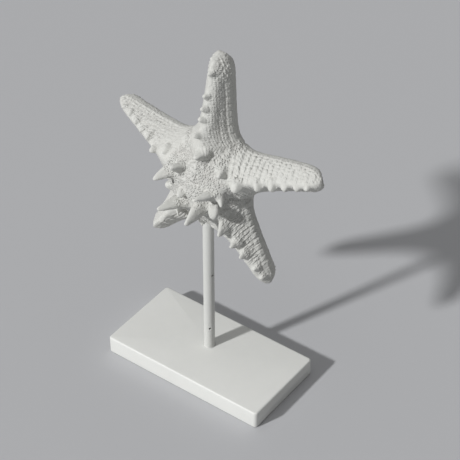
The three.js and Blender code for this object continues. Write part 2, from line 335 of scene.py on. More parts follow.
@dataclass(frozen=True)
class StarForm:
    """The star's large shape: its arms, webs, disc and horns, and where all this is in the world."""

    centre: Triple = (-4.5, 16, 187.5)
    lean_back: float = 6
    half_width_at_web: float = 16.8
    half_width_at_tip: float = 9
    arm_start: float = 33
    curl_start: float = 45
    tip_rounding: float = 14
    flare_spread: float = 1.15
    web_rise_length: float = 14
    ridge_sharpness: float = 1.4
    flank_rounding: float = 0.78
    edge_onset: float = 10
    disc_height: float = 33
    ridge_fall: float = 1.7
    valley_fall: float = 1.9
    valley_rounding: float = 0.75
    back_depth: float = 7
    back_squareness: float = 12
    dip_place: float = 42
    dip_width: float = 11
    back_valley_fall: float = 8
    groove_depth: float = 3.5
    groove_half_width: float = 3
    arms: tuple[Arm, ...] = (
        Arm(21, 109, 0.93, (0.95, 0.95), 23, 9, curl=11, left=FINE_ROWS, right=COARSE_ROWS),
        Arm(90.4, 105, 0.93, (0.93, 0.93), 23.5, 11.5, curl=2, left=SMOOTH_FLANK, right=BANDS),
        Arm(166, 101, 0.95, (0.78, 0.66), 25, 6, lean=-4, left=NETWORK, right=NETWORK),
        Arm(234, 103, 0.85, (0.65, 0.65), 22, 8, lean=-8, dip=9, left=LINES, right=LINES),
        Arm(306.5, 98, 0.85, (0.75, 0.55), 21, 9, left=BARS, right=COARSE_ROWS),
    )
    webs: tuple[Web, ...] = (Web(40), Web(38), Web(44, 4), Web(49, 3), Web(36))

    def web_beside(self, k: int, side: int) -> int:
        """Gives the number of the web on one side of an arm."""
        return k if side > 0 else (k - 1) % len(self.arms)

    def half_gap(self, web: int) -> float:
        """Gives half the angle between the two arms that a web joins, in radians."""
        turn = self.arms[(web + 1) % len(self.arms)].angle - self.arms[web].angle
        return math.radians(turn % 360) / 2

    def web_end(self, web: int) -> float:
        """Gives where a web ends, measured along the arm beside it."""
        return self.webs[web].radius * math.cos(self.half_gap(web))

    def start(self, k: int, side: int, share: Array) -> Array:
        """Gives where an arm leaves the disc, at each share of its half width."""
        middle = (self.web_end(self.web_beside(k, 1)) + self.web_end(self.web_beside(k, -1))) / 2
        return middle + (self.web_end(self.web_beside(k, side)) - middle) * share

    def along_arm(self, k: int, distance: Array) -> Array:
        """Gives how far along an arm a place is, from 0 at the disc to 1 at the tip."""
        return np.clip((distance - self.arm_start) / (self.arms[k].length - self.arm_start), 0, 1)

    def tip(self, k: int, distance: Array) -> Array:
        """Falls from 1 to 0 over the last stretch of an arm, as a quarter circle does."""
        past = np.clip((distance - self.arms[k].length) / self.tip_rounding + 1, 0, 1)
        return np.sqrt(1 - past * past)

    def from_tip(self, places: Places) -> Array:
        """Gives how far points are from the end of their arm, along it."""
        return np.array([arm.length for arm in self.arms])[places.arm] - places.along

    def half_width(self, k: int, side: int, distance: Array) -> Array:
        """Gives half the width of an arm on one side. In the disc it reaches to the next arm's part.

        Args:
            k: The arm's number.
            side: 1 for the side towards the next arm, -1 for the other.
            distance: How far from the centre, along the arm.

        Returns:
            The half width in millimetres.
        """
        arm, web = self.arms[k], self.web_beside(k, side)
        gap, end = self.half_gap(web), self.web_end(web)
        at_web = self.half_width_at_web * arm.width
        at_tip = self.half_width_at_tip * arm.tip_widths[side < 0]
        flare = self.webs[web].radius * math.sin(gap) - at_web
        fading = np.exp(np.minimum(end - distance, 0) / (self.flare_spread * flare * math.tan(gap)))
        width = at_web + (at_tip - at_web) * self.along_arm(k, distance) + flare * fading
        return np.where(distance <= end, distance * math.tan(gap), width * self.tip(k, distance))

    def front_height(self, k: int, distance: Array, in_disc: Array, share: Array) -> Array:
        """Gives the front's height above the rim: ridges on the arms, and valleys to the webs."""
        arm = self.arms[k]
        crest = arm.ridge + (arm.tip_ridge - arm.ridge) * self.along_arm(k, distance)
        crest = crest * self.tip(k, distance)
        crest = crest - arm.dip * np.exp(-(((distance - self.dip_place) / self.dip_width) ** 2))
        ridge = self.disc_height + (crest - self.disc_height) * in_disc**self.ridge_fall
        valley = self.disc_height * (1 - in_disc**self.valley_fall) ** self.valley_rounding
        flank = (1 - share**self.ridge_sharpness) ** self.flank_rounding
        round_over = np.cos(share * math.pi / 2) ** 2
        across = round_over + (flank - round_over) * in_disc**self.edge_onset
        return valley + (ridge - valley) * across

    def back_height(self, k: int, distance: Array, in_disc: Array, share: Array, aside: Array) -> Array:
        """Gives the back's height, which is below the rim, with a groove along the arm."""
        edge = np.sqrt(1 - share**self.back_squareness)
        round_over = np.cos(share * math.pi / 2) ** 2
        across = round_over + (edge - round_over) * in_disc**self.edge_onset
        valley = self.back_depth * np.sqrt(1 - in_disc**self.back_valley_fall)
        depth = valley + (self.back_depth * self.tip(k, distance) - valley) * across
        groove = self.groove_depth * np.exp(-((aside / self.groove_half_width) ** 2))
        return groove * self.tip(k, distance) - depth

    def lift(self, k: int, side: int, distance: Array, share: Array) -> Array:
        """Gives how far the star leaves its own plane: an arm's lean, its curl and a web's rise."""
        arm, web = self.arms[k], self.web_beside(k, side)
        past = np.maximum(distance - self.curl_start, 0) / (arm.length - self.curl_start)
        inside = np.minimum(distance / self.web_end(web), 1) ** 2
        beyond = np.exp(np.minimum(self.web_end(web) - distance, 0) / self.web_rise_length)
        rise = self.webs[web].rise * inside * beyond * share * share
        return arm.lean * self.along_arm(k, distance) + arm.curl * past * past + rise

    def in_star(self, k: int, distance: Array, aside: Array, height: Array) -> Array:
        """Turns arm coordinates into the star's own frame: right, up and out of the front."""
        angle = math.radians(self.arms[k].angle)
        right = distance * math.cos(angle) - aside * math.sin(angle)
        up = distance * math.sin(angle) + aside * math.cos(angle)
        return np.stack(np.broadcast_arrays(right, up, height), axis=-1)

    def on_front(self, k: int, distance: float, aside: float) -> Array:
        """Gives the point of the front surface above a place in arm coordinates."""
        side = 1 if aside > 0 else -1
        at = np.array([float(distance)])
        share = np.clip(abs(aside) / self.half_width(k, side, at), 0, 1)
        in_disc = np.minimum(at / self.start(k, side, share), 1)
        height = self.front_height(k, at, in_disc, share) + self.lift(k, side, at, share)
        return self.in_star(k, at, np.array([float(aside)]), height)[0]

    @property
    def axes(self) -> Array:
        """The star's own axes in the world, one a row."""
        lean = math.radians(self.lean_back)
        sine, cosine = math.sin(lean), math.cos(lean)
        return np.array([[1, 0, 0], [0, sine, cosine], [0, -cosine, sine]])

    def to_world(self, own: Array) -> Array:
        """Turns the star's own millimetres into the world's metres."""
        return (own @ self.axes + self.centre) * MM

    def from_world(self, world: Array) -> Array:
        """Turns the world's metres into the star's own millimetres."""
        return (world / MM - self.centre) @ self.axes.T

    def locate(self, own: Array) -> Places:
        """Finds the arm coordinates of points that are in the star's own frame.

        Args:
            own: The points, in millimetres.

        Returns:
            Their arm coordinates.
        """
        count = len(self.arms)
        turn = np.degrees(np.arctan2(own[:, 1], own[:, 0])) % 360
        edges = [self.arms[k].angle + math.degrees(self.half_gap(k)) for k in range(count)]
        arm = np.searchsorted(np.array(edges[:-1]), turn)
        arm = np.where(turn >= edges[-1], 0, arm)
        found = Places(own, arm, *(np.zeros(len(own)) for _ in range(6)))
        for k in range(count):
            angle = math.radians(self.arms[k].angle)
            along = own[:, 0] * math.cos(angle) + own[:, 1] * math.sin(angle)
            aside = own[:, 1] * math.cos(angle) - own[:, 0] * math.sin(angle)
            for side in (1, -1):
                here = (arm == k) & ((aside > 0) == (side > 0))
                distance = np.maximum(along[here], 0)
                half = self.half_width(k, side, distance)
                share = np.clip(np.abs(aside[here]) / np.maximum(half, 0.1), 0, 1)
                found.along[here], found.aside[here], found.half[here] = distance, aside[here], half
                found.in_disc[here] = np.minimum(distance / self.start(k, side, share), 1)
                found.in_web[here] = distance / self.web_end(self.web_beside(k, side))
                found.height[here] = own[here, 2] - self.lift(k, side, distance, share)
        return found


CONE, EGG = HornForm.CONE, HornForm.EGG
HORNS: tuple[tuple[Horn, ...], ...] = (
    (
        Horn(16, -7, 19, 5.3, -6, 12, CONE),
        Horn(25, 8, 8, 4.6, 25, 10, CONE),
        Horn(20, -7, 11, 4.2, 45, -62, CONE),
        Horn(37, -1, 6, 4.8, 10, -30),
        Horn(54, -2, 4.6, 4.2, 15, -30),
        Horn(66.5, -2, 4.6, 3.9, 15, -30),
        Horn(78, -2, 4.1, 3.6, 15, -30),
        Horn(89, -2, 3.6, 3.3, 15, -30),
        Horn(99, -1, 3.5, 2.8, 20, -20),
    ),
    (
        Horn(12, 11, 13.5, 5, 22, 1, CONE),
        Horn(27, -4, 9.5, 4.5, 10, -3, CONE),
        Horn(41, 2, 6.5, 3.7, 8, 3, CONE),
        Horn(54, 1, 4.5, 2.9, 15, 5),
        Horn(63, 0, 4.5, 2.8, 15, 5),
        Horn(73, 0, 4, 2.6, 15, 5),
        Horn(91, -1, 3.6, 2.4, 15, 0),
        Horn(100, 2, 2.4, 2.2, 20, 0),
    ),
    (
        Horn(22, 1, 15.5, 5.5, 20, 12, CONE),
        Horn(35, -6, 4, 3.3, 5, 0),
        Horn(45, 0, 5, 3, 8, 0),
        Horn(55, -3, 4.5, 2.7, 6, 0),
        Horn(64, -2, 3, 2.3, 6, 0),
        Horn(72, -3, 3.8, 2.4, 5, 0),
        Horn(81, -3, 3.3, 2.2, 5, 0),
        Horn(90, -2, 2.6, 2, 15, 0),
    ),
    (
        Horn(22, 2, 22.5, 6, 0, -13, CONE),
        Horn(10, -2, 6, 3.5, 0, 15),
        Horn(38, -13, 7, 4.5, 0, -30),
        Horn(42, 0, 4.5, 4, 10, 0),
        Horn(49, 2, 8.5, 2, 0, 60, CONE),
        Horn(62, 1, 3.5, 3, 10, 0),
        Horn(73, 1, 3, 2.8, 10, 0),
        Horn(84, 0, 3, 2.6, 10, 0),
    ),
    (
        Horn(17, -3, 22, 7, 15, 4, CONE),
        Horn(20, 8, 12, 4.8, 43, 10, EGG),
        Horn(40, 0, 9, 4.8, 21, 6, CONE),
        Horn(55, 1.5, 7, 3.8, 5, 0, CONE),
        Horn(66, 2, 6, 3.5, 5, 0, CONE),
        Horn(80, 3.5, 4.6, 2.7, 8, 0, CONE),
        Horn(89, 3, 3, 2.2, 10, 0),
    ),
)


def read_places(piece: Piece) -> Array:
    """Gives the places of a mesh's vertices, one a row, in metres."""
    flat = np.empty(len(piece.data.vertices) * 3, np.float32)
    piece.data.vertices.foreach_get("co", flat)
    return flat.reshape(-1, 3).astype(float)


def write_places(piece: Piece, places: Array) -> None:
    """Puts a mesh's vertices at new places, in metres."""
    piece.data.vertices.foreach_set("co", places.astype(np.float32).ravel())
    piece.data.update()


def read_normals(piece: Piece) -> Array:
    """Gives the normals of a mesh's vertices, one a row."""
    flat = np.empty(len(piece.data.vertices) * 3, np.float32)
    piece.data.vertex_normals.foreach_get("vector", flat)
    return flat.reshape(-1, 3).astype(float)


def deselect() -> None:
    """Clears the selection, so that an operator acts on nothing but what is picked after it."""
    bpy.ops.object.select_all(action="DESELECT")


def pick(*pieces: Piece) -> Piece:
    """Selects only these pieces, and makes the first one active.

    Args:
        pieces: What the next operator acts on.

    Returns:
        The first piece.
    """
    deselect()
    for piece in pieces:
        piece.select_set(True)
    bpy.context.view_layer.objects.active = pieces[0]
    return pieces[0]


def join(pieces: Sequence[Piece], name: str) -> Piece:
    """Joins pieces into the first of them and names it."""
    whole = pick(*pieces)
    bpy.ops.object.join()
    whole.name = whole.data.name = name
    return whole


def apply(piece: Piece, kind: str, **settings: object) -> None:
    """Adds a modifier to a piece and applies it.

    Args:
        piece: The piece.
        kind: The modifier's type.
        settings: The modifier's values.
    """
    pick(piece)
    modifier = piece.modifiers.new(kind.title(), kind)
    for key, value in settings.items():
        setattr(modifier, key, value)
    bpy.ops.object.modifier_apply(modifier=modifier.name)


def settle(piece: Piece) -> None:
    """Puts a piece's place, turn and size into its mesh, and leaves its object at the origin."""
    pick(piece)
    bpy.ops.object.transform_apply(location=True, rotation=True, scale=True)


def bore(
    piece: Piece, radius: float, depth: float, middle: Vector, rotation: Triple = (0, 0, 0), sides: int = 48
) -> None:
    """Cuts a round hole into a piece.

    Args:
        piece: The piece.
        radius: The hole's radius in metres.
        depth: The drill's length.
        middle: The middle of the drill.
        rotation: The drill's turn, from upright.
        sides: The number of its sides.
    """
    deselect()
    bpy.ops.mesh.primitive_cylinder_add(
        vertices=sides, radius=radius, depth=depth, location=middle, rotation=rotation
    )
    drill = bpy.context.active_object
    settle(drill)
    apply(piece, "BOOLEAN", operation="DIFFERENCE", object=drill, solver="EXACT")
    bpy.data.objects.remove(drill)


def draw_out(rings: Sequence[Range], sides: int, name: str, centre: Range = (0, 0)) -> Piece:
    """Draws a circle out into ring after ring, as by hand, and closes both ends.

    Args:
        rings: The height and the radius of each ring. A last radius of 0 makes a point.
        sides: The number of sides.
        name: The piece's name.
        centre: Where the rings' common axis stands.

    Returns:
        The piece.
    """
    deselect()
    (low, width), *others = rings
    bpy.ops.mesh.primitive_circle_add(vertices=sides, radius=width, fill_type="NGON", location=(*centre, low))
    bpy.ops.object.transform_apply(location=True, rotation=True, scale=True)
    bpy.ops.object.mode_set(mode="EDIT")
    bpy.ops.mesh.select_all(action="SELECT")
    for rise, radius in others:
        bpy.ops.mesh.extrude_region_move(TRANSFORM_OT_translate={"value": (0, 0, rise - low)})
        if radius == 0:
            bpy.ops.mesh.merge(type="CENTER")
            break
        scale = radius / width
        bpy.ops.transform.resize(value=(scale, scale, 1), center_override=(*centre, rise))
        low, width = rise, radius
    bpy.ops.mesh.select_all(action="SELECT")
    bpy.ops.mesh.normals_make_consistent(inside=False)
    bpy.ops.object.mode_set(mode="OBJECT")
    piece = bpy.context.active_object
    piece.name = piece.data.name = name
    return piece


def smooth_flats(piece: Piece, sharp_from: float = 35) -> None:
    """Shades a piece smooth but for its sharp edges, from an angle in degrees."""
    pick(piece)
    bpy.ops.object.shade_smooth_by_angle(angle=math.radians(sharp_from))


@dataclass
class HornPattern:
    """One kind of horn, modelled once at unit size: radius 1, height 1 and a root one deep."""

    form: HornForm
    sides: int = 24

    def model(self) -> Piece:
        """Draws the root's circle out into rings that narrow to the point.

        Returns:
            The unit horn, along Z.
        """
        name = f"horn_pattern_{self.form.name.lower()}"
        return draw_out([*self.form.value, (1, 0)], self.sides, name)


@dataclass
class SeaStar:
    """The star itself: one grown piece, from its large form to the beads on its skin."""

    form: StarForm = field(default_factory=StarForm)
    horns: tuple[tuple[Horn, ...], ...] = HORNS
    hollows: tuple[Hollow, ...] = (Hollow(3, 43, 11, 9, 11),)
    across: int = 18
    stations_in_disc: int = 26
    stations_on_arm: int = 56
    disc_packing: float = 1.4
    station_packing: float = 0.6
    horn_root: float = 4
    horn_bend: float = 0.08
    horn_facets: float = 0.12
    socket_gap: float = 0.3
    collar_place: Triple = (-5.8, 1.2, 144.8)
    collar_size: Triple = (2.6, 2.6, 1.7)
    skin_voxel: float = 0.5
    most_triangles: int = 196_000
    skin_rounds: int = 4
    fillet_rounds: int = 70
    tip_rounding: Range = (7, 2)
    least_weight: float = 0.02
    foot_calm: float = 0.55
    # The relief depth over which the painted shade in the crevices fades from full to none.
    painted_shade_depth: float = 1.2
    node: ClassVar[str] = "sea_star"

    def patch(self, k: int, side: Side) -> Piece:
        """Makes one face of one arm and its part of the disc: a grid whose points are put in place.

        Args:
            k: The arm's number.
            side: The front or the back.

        Returns:
            The patch, in the star's own millimetres.
        """
        stations = self.stations_in_disc + self.stations_on_arm
        deselect()
        bpy.ops.mesh.primitive_grid_add(x_subdivisions=stations, y_subdivisions=2 * self.across, size=2)
        grid = bpy.context.active_object
        flat = read_places(grid)
        i = np.rint((flat[:, 0] + 1) / 2 * stations)
        j = flat[:, 1]
        share = np.abs(np.sin(j * math.pi / 2))
        in_disc = 1 - np.maximum(1 - i / self.stations_in_disc, 0) ** self.disc_packing
        on_arm = np.maximum(i - self.stations_in_disc, 0) / self.stations_on_arm
        on_arm = on_arm - self.station_packing * np.sin(2 * math.pi * on_arm) / (2 * math.pi)
        own = np.zeros((len(flat), 3))
        for hand in (1, -1):
            here = (j > 0) == (hand > 0)
            start = self.form.start(k, hand, share[here]) * in_disc[here]
            distance = start + (self.form.arms[k].length - start) * on_arm[here]
            aside = hand * share[here] * self.form.half_width(k, hand, distance)
            if side is Side.FRONT:
                height = self.form.front_height(k, distance, in_disc[here], share[here])
            else:
                height = self.form.back_height(k, distance, in_disc[here], share[here], aside)
            at_rim = (share[here] > 1 - 1e-6) & (in_disc[here] > 1 - 1e-6)
            height = np.where(at_rim, 0, height) + self.form.lift(k, hand, distance, share[here])
            own[here] = self.form.in_star(k, distance, aside, height)
        write_places(grid, own)
        return grid

    def body(self) -> Piece:
        """Joins the arms' faces into one closed body.

        Returns:
            The body, in the star's own millimetres.
        """
        patches = [self.patch(k, side) for k in range(len(self.form.arms)) for side in Side]
        whole = join(patches, "star_body")
        bpy.ops.object.mode_set(mode="EDIT")
        bpy.ops.mesh.select_all(action="SELECT")
        bpy.ops.mesh.remove_doubles(threshold=1e-3)
        bpy.ops.mesh.dissolve_degenerate(threshold=1e-4)
        bpy.ops.mesh.select_all(action="SELECT")
        bpy.ops.mesh.normals_make_consistent(inside=False)
        bpy.ops.object.mode_set(mode="OBJECT")
        own = read_places(whole)
        places = self.form.locate(own)
        own[:, 2] -= sum(hollow.sinks(places) for hollow in self.hollows)
        write_places(whole, own)
        return whole

    def horn_axis(self, k: int, horn: Horn) -> tuple[Array, Array]:
        """Gives the foot of a horn and the way that it points, in the star's own frame."""
        lean = np.array([math.tan(math.radians(horn.outwards)), math.tan(math.radians(horn.sideways)), 1.0])
        way = self.form.in_star(k, lean[0], lean[1], lean[2])
        return self.form.on_front(k, horn.distance, horn.aside), way / np.linalg.norm(way)

    def place_horn(self, pattern: Piece, k: int, horn: Horn) -> Piece:
        """Copies a unit horn, gives it its own size and bend, and stands it on the front.

        Args:
            pattern: The unit horn of its form.
            k: The number of the arm that it belongs to.
            horn: Its place and size.

        Returns:
            The horn, in the star's own millimetres.
        """
        copy = pattern.copy()
        copy.data = pattern.data.copy()
        bpy.context.scene.collection.objects.link(copy)
        unit = read_places(copy)
        foot, way = self.horn_axis(k, horn)
        aside = np.cross(way, (0.0, 1.0, 0.0))
        aside /= np.linalg.norm(aside)
        third = np.cross(way, aside)
        chance = 2 * math.pi * scatter(np.array([horn.distance, horn.aside, 1.0]), k, 5)
        turn = np.arctan2(unit[:, 1], unit[:, 0])
        facets = np.cos(3 * turn + chance[0] + unit[:, 2]) + 0.7 * np.cos(2 * turn + chance[1])
        out = unit[:, :2] * (horn.radius * (1 + self.horn_facets * facets))[:, None]
        root = min(horn.height, self.horn_root)
        up = np.where(unit[:, 2] < 0, unit[:, 2] * root, unit[:, 2] * horn.height)
        bend = self.horn_bend * horn.height * np.maximum(unit[:, 2], 0) ** 2
        own = foot + np.outer(up, way)
        own += np.outer(out[:, 0] + bend * math.cos(chance[2]), aside)
        own += np.outer(out[:, 1] + bend * math.sin(chance[2]), third)
        write_places(copy, own)
        return copy

    def around_horns(self, places: Places) -> Iterator[tuple[Horn, Array, Array]]:
        """Measures points against each horn.

        Args:
            places: The points.

        Yields:
            The horn, each point's rise along its axis, and each point's way off the axis.
        """
        for k, row in enumerate(self.horns):
            for horn in row:
                foot, way = self.horn_axis(k, horn)
                rise = (places.own - foot) @ way
                yield horn, rise, np.linalg.norm(places.own - foot - np.outer(rise, way), axis=1)

    def hornness(self, places: Places) -> Array:
        """Tells the horns' smooth upper parts from the skin.

        Args:
            places: Points of the skin.

        Returns:
            From 0 on the skin to 1 on a horn, for each point.
        """
        most = np.zeros(len(places.own))
        for horn, rise, off in self.around_horns(places):
            level = rise / horn.height
            past = off - horn.radius * (1.3 - level) - 1.5
            near = smooth_step(past, 2.5, -1) * smooth_step(level, 1.4, 1.15)
            most = np.maximum(most, near * smooth_step(level, 0.1, 0.5))
        return most

    def near_feet(self, places: Places) -> Array:
        """Tells how close points are to where a horn rises from the skin, from 0 to 1."""
        most = np.zeros(len(places.own))
        for horn, rise, off in self.around_horns(places):
            around = np.exp(-(((off - 1.1 * horn.radius) / (0.4 * horn.radius + 1.2)) ** 2))
            level = np.exp(-((rise / (0.25 * horn.height + 1.5)) ** 2))
            most = np.maximum(most, around * level)
        return most

    def model(self) -> Piece:
        """Fuses the body and the horns into one skin and raises the relief on it.

        Returns:
            The finished star, in the world's metres.
        """
        patterns = {form: HornPattern(form).model() for form in HornForm}
        pieces = [self.body()]
        for k, row in enumerate(self.horns):
            pieces += [self.place_horn(patterns[horn.form], k, horn) for horn in row]
        for pattern in patterns.values():
            bpy.data.objects.remove(pattern)
        pieces.append(self.collar())
        star = join(pieces, "starfish")
        apply(star, "REMESH", mode="VOXEL", voxel_size=self.skin_voxel, adaptivity=0)
        apply(star, "SMOOTH", factor=0.5, iterations=self.skin_rounds)
        places = self.form.locate(read_places(star))
        feet = self.near_feet(places)
        rounded = star.vertex_groups.new(name="rounded")
        at_tips = smooth_step(self.form.from_tip(places), *self.tip_rounding)
        for index, weight in enumerate(np.maximum(feet, at_tips)):
            if weight > self.least_weight:
                rounded.add([index], weight, "REPLACE")
        apply(star, "SMOOTH", factor=0.5, iterations=self.fillet_rounds, vertex_group=rounded.name)
        LOG.info("starfish: skin of %d points", len(star.data.vertices))
        own = read_places(star)
        places = self.form.locate(own)
        horn = self.hornness(places)
        skin = Skin(self.form).relief(places, horn)
        skin.height *= 1 - self.foot_calm * feet
        own = own + read_normals(star) * skin.height[:, None]
        write_places(star, self.form.to_world(own))
        # The relief's height is kept for the finish, which paints shade into the low places.
        self.note(star, "painted_shade_height", np.clip(0.5 + skin.height / self.painted_shade_depth, 0, 1))
        for name in ("bead", "loose", "rows"):
            self.note(star, name, getattr(skin, name))
        star.data.shade_smooth()
        triangles = 2 * len(star.data.polygons)
        if triangles > self.most_triangles:
            apply(star, "DECIMATE", ratio=self.most_triangles / triangles)
        self.cut_socket(star)
        star.data.shade_smooth()
        LOG.info("starfish: %d triangles", len(star.data.polygons))
        return star

    def collar(self) -> Piece:
        """Makes the small lump of filler around the post's top, in the star's own millimetres."""
        deselect()
        bpy.ops.mesh.primitive_uv_sphere_add(
            segments=32, ring_count=16, radius=1, location=self.collar_place, scale=self.collar_size
        )
        lump = bpy.context.active_object
        settle(lump)
        write_places(lump, self.form.from_world(read_places(lump) * MM))
        return lump

    def cut_socket(self, star: Piece) -> None:
        """Cuts the hole that the post's top stands in, a little wider and deeper than the post."""
        low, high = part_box(Post.node)
        gap = self.socket_gap * MM
        middle = (low + high) / 2 + Vector((0, 0, gap / 2))
        bore(star, (high.x - low.x) / 2 + gap, high.z - low.z + gap, middle)

    @staticmethod
    def note(piece: Piece, name: str, values: Array) -> None:
        """Keeps a number or a vector for each vertex in the mesh, for the finish to read."""
        single = values.ndim == 1
        attribute = piece.data.attributes.new(name, "FLOAT" if single else "FLOAT_VECTOR", "POINT")
        attribute.data.foreach_set("value" if single else "vector", values.astype(np.float32).ravel())


@dataclass
class Relief:
    """What the skin is at each point: its height, and what the finish needs to draw its small beads."""

    height: Array
    rows: Array
    bead: Array
    loose: Array

    @classmethod
    def flat(cls, count: int) -> Relief:
        """Starts with smooth skin."""
        return cls(np.zeros(count), np.zeros((count, 3)), np.zeros(count), np.ones(count))


@dataclass(frozen=True)
class Skin:
    """The relief of the star's skin, in millimetres: beads in rows, plates at the margin, pits and granules.

    Attributes:
        form: The star's large shape.
        disc: How high the disc's granules stand.
        disc_bead: How high the small granules are that the finish draws between them.
        granules: The disc's larger granules.
        pavement: The plates of the back.
        plate: How high those plates stand.
        teeth: Each row of teeth: its way from the groove's middle, and the way from tooth to tooth.
        tooth: How high the teeth stand.
        tooth_half_width: Half the width of a tooth.
        teeth_stop: Where the teeth end and are whole, from the tip.
        teeth_face: The heights above the rim where they start and are whole.
        grain: The height of the finest grain.
        disorder: How far rows wander, in broad and in small waves.
        crests: How wide the crest calms the beads, and how wide its sharp middle does.
        seam: How wide the finish's beads fade at the crest.
        shoulder_place: How far the swelling beside a crest is from it.
        shoulder_width: How wide it is.
        shoulder_start: Where it starts and is whole, along the arm.
        shoulder_stop: Where it ends and is whole, from the tip.
        pivot: How far from the rim a slanting row keeps its place.
        groove_width: How wide the grooves along an arm are.
        knob: The way between the loose beads at a tip.
        tip: Where these beads start and are whole, from the tip.
        end: Where the relief starts to fade, from the tip.
        whole_from: Where a pattern that is weak beside the disc starts to grow, and is whole.
        facing: The heights above the rim where the back ends and the front starts.
    """

    form: StarForm
    disc: float = 0.8
    disc_bead: float = 0.75
    granules: BeadRows = BeadRows(3.1, 3.3, fill=1.05, jitter=0.9, variety=0.7, seed=51)
    pavement: BeadRows = BeadRows(3.4, 3.0, fill=1.1, jitter=0.4, seed=71)
    plate: float = 0.45
    teeth: tuple[Range, ...] = ((3.4, 2.2), (5.6, 2.5))
    tooth: float = 1.1
    tooth_half_width: float = 1.1
    teeth_stop: Range = (5, 12)
    teeth_face: Range = (-2.5, -4.5)
    grain: float = 0.1
    disorder: Range = (0.7, 0.3)
    crests: Range = (3.5, 1.5)
    seam: float = 2
    shoulder_place: float = 4.5
    shoulder_width: float = 3.2
    shoulder_start: Range = (38, 55)
    shoulder_stop: Range = (8, 24)
    pivot: float = 20
    groove_width: float = 0.8
    knob: float = 2.7
    tip: Range = (26, 16)
    end: float = 5
    whole_from: Range = (25, 65)
    facing: Range = (-1.5, 0.5)

    def wander(self, places: Places, size: float, seed: float) -> Array:
        """Gives the disorder that keeps rows from running straight."""
        broad, small = self.disorder
        return broad * lumps(places.own, size, seed) + small * lumps(places.own, 4, seed + 1)

    @staticmethod
    def margin(places: Places, skin: Flank, down: Array, seed: float) -> Array:
        """Gives the row of rounded plates along the rim."""
        at = np.mod(places.along / skin.plate_pitch + 0.08 * lumps(places.own, 8, seed), 1) * 2 - 1
        level = np.clip(down / skin.margin, 0, 1) * 2 - 1
        return skin.plate * (1 - at**4) * (1 - np.abs(level) ** 3)

    def beside_crest(self, places: Places, skin: Flank) -> tuple[Array, Array]:
        """Gives what the crest does to a flank.

        Args:
            places: Points of the flank.
            skin: The flank's pattern.

        Returns:
            The share of the relief that is calmed, and the swelling beside the crest from 0 to 1.
        """
        wide, sharp = self.crests
        calm = 0.5 * np.exp(-((places.aside / wide) ** 2)) + 0.4 * np.exp(-((places.aside / sharp) ** 2))
        swell = np.exp(-(((np.abs(places.aside) - self.shoulder_place) / self.shoulder_width) ** 2))
        swell *= smooth_step(places.along, *self.shoulder_start)
        swell *= smooth_step(self.form.from_tip(places), *self.shoulder_stop)
        return np.maximum(calm, min(skin.shoulder, 0.8) * swell), swell

    def flank(self, places: Places, skin: Flank, seed: float) -> Relief:
        """Gives the relief of one flank: bars of beads with pits between them, and plates at the margin.

        Args:
            places: Points of the flank.
            skin: The flank's pattern.
            seed: Makes its chance different from the others'.

        Returns:
            The relief.
        """
        down, from_tip = places.from_rim, self.form.from_tip(places)
        x = places.along + skin.slant * (self.pivot - down) + self.wander(places, 11, seed)
        y = down + self.wander(places, 9, seed + 2)
        beads = BeadRows(skin.bar_pitch, skin.bead_pitch * 1.3, fill=1, jitter=0.6, variety=0.6, seed=seed)
        pits = BeadRows(skin.bar_pitch, skin.bead_pitch, 0.5, jitter=0.8, variety=0.8, seed=seed + 9)
        knobs = BeadRows(self.knob, self.knob, jitter=0.8, variety=0.5, seed=seed + 20)
        bar = (0.5 - 0.5 * np.cos(2 * math.pi * x / skin.bar_pitch)) ** 1.5
        bead = beads.height(x, y)
        beaded = 0.4 * skin.bead * bead + skin.bar * bar * (0.4 + 0.8 * bead)
        beaded -= skin.pit * pits.height(x + skin.bar_pitch / 2, y)
        at_margin = smooth_step(down, skin.margin + 0.8, skin.margin - 0.6)
        beaded += (self.margin(places, skin, down, seed + 4) - 0.7 * beaded) * at_margin
        wavy = down + 0.8 * lumps(places.own, 6, seed + 5)
        for depth in skin.grooves:
            beaded -= skin.groove * np.exp(-(((wavy - depth) / self.groove_width) ** 2))
        loose = skin.tip_bead * (knobs.height(places.along, y) - 0.3)
        beaded += (loose - 0.6 * beaded) * smooth_step(from_tip, *self.tip)
        beaded *= 1 - 0.7 * smooth_step(from_tip, self.end, 0)
        strength = skin.at_disc + (1 - skin.at_disc) * smooth_step(places.along, *self.whole_from)
        calm, swell = self.beside_crest(places, skin)
        seam = 1 - np.exp(-((places.aside / self.seam) ** 4))
        small = skin.bead * strength * seam * (0.4 + 0.6 * bar) * (1 - min(skin.plate, 0.7) * at_margin)
        rows = np.stack((2 * x / skin.bar_pitch, y / skin.bead_pitch, np.full(len(x), seed)), axis=1)
        height = beaded * strength * (1 - calm) + skin.shoulder * swell
        return Relief(height, rows, small, np.zeros(len(x)))

    def disc_skin(self, places: Places) -> Array:
        """Gives the uneven granules of the disc."""
        warp = 1.2 * lumps(places.own, 7, 41)
        coarse = self.granules.height(places.own[:, 0] + warp, places.own[:, 1] - warp)
        return self.disc * (0.9 * coarse + 0.5 * lumps(places.own, 5, 45) - 0.2)

    def back(self, places: Places) -> Array:
        """Gives the back's pavement of plates and the two rows of teeth on each side of a groove."""
        away = np.abs(places.aside)
        teeth = np.zeros(len(away))
        there = smooth_step(self.form.from_tip(places), *self.teeth_stop)
        there *= smooth_step(places.height, *self.teeth_face)
        for number, (row, pitch) in enumerate(self.teeth):
            at = np.mod(places.along / pitch + 0.5 * number, 1) * 2 - 1
            over = (away - row) / self.tooth_half_width
            teeth = np.maximum(teeth, np.clip(1 - at**2 - over**2, 0, 1) ** 0.6)
        return self.plate * self.pavement.height(places.along, away) + self.tooth * teeth * there

